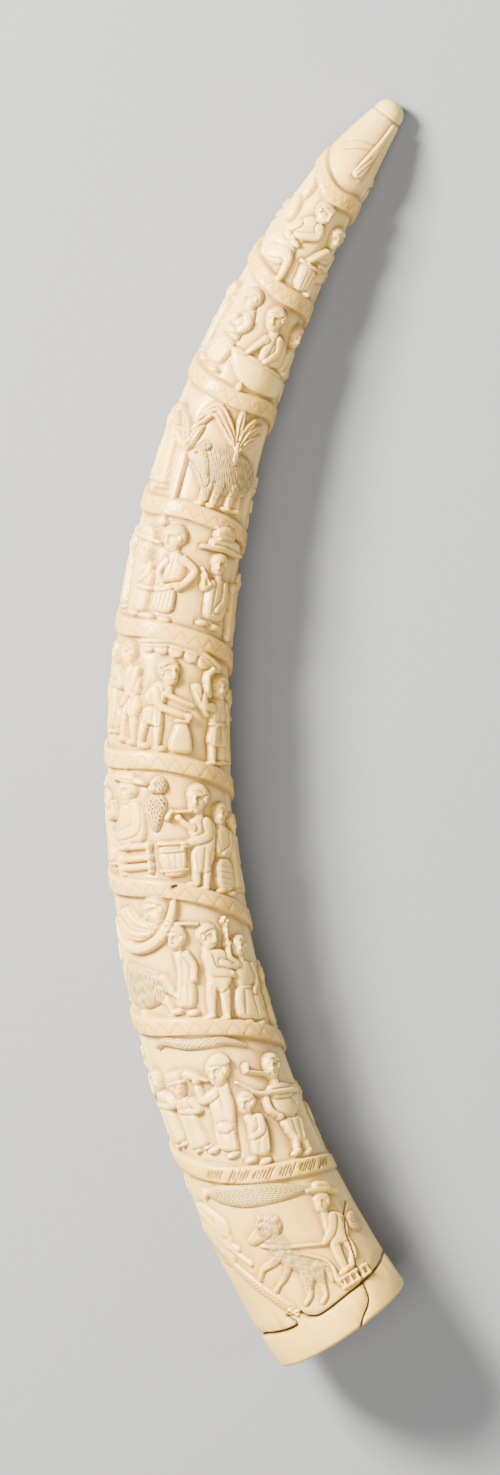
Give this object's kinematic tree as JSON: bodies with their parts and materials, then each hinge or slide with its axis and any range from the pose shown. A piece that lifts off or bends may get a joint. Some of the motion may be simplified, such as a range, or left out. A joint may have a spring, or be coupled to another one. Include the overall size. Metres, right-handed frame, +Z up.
{
  "type": "carved tusk",
  "caption": "Curved ivory tusk lying on its side, with a raised spiral band, rows of small relief figures between its turns and an open hollow at the base.",
  "frame": {"origin": "on the surface the tusk lies on, under the middle of its outline in plan", "axes": "+Z up, +Y along the tusk's length towards the tip, +X towards the inside of its curve"},
  "size_m": [0.1482, 0.6272, 0.0743],
  "materials": {
    "ivory": "satin"
  },
  "bodies": {
    "root": {"tusk": "ivory"}
  },
  "joints": []
}
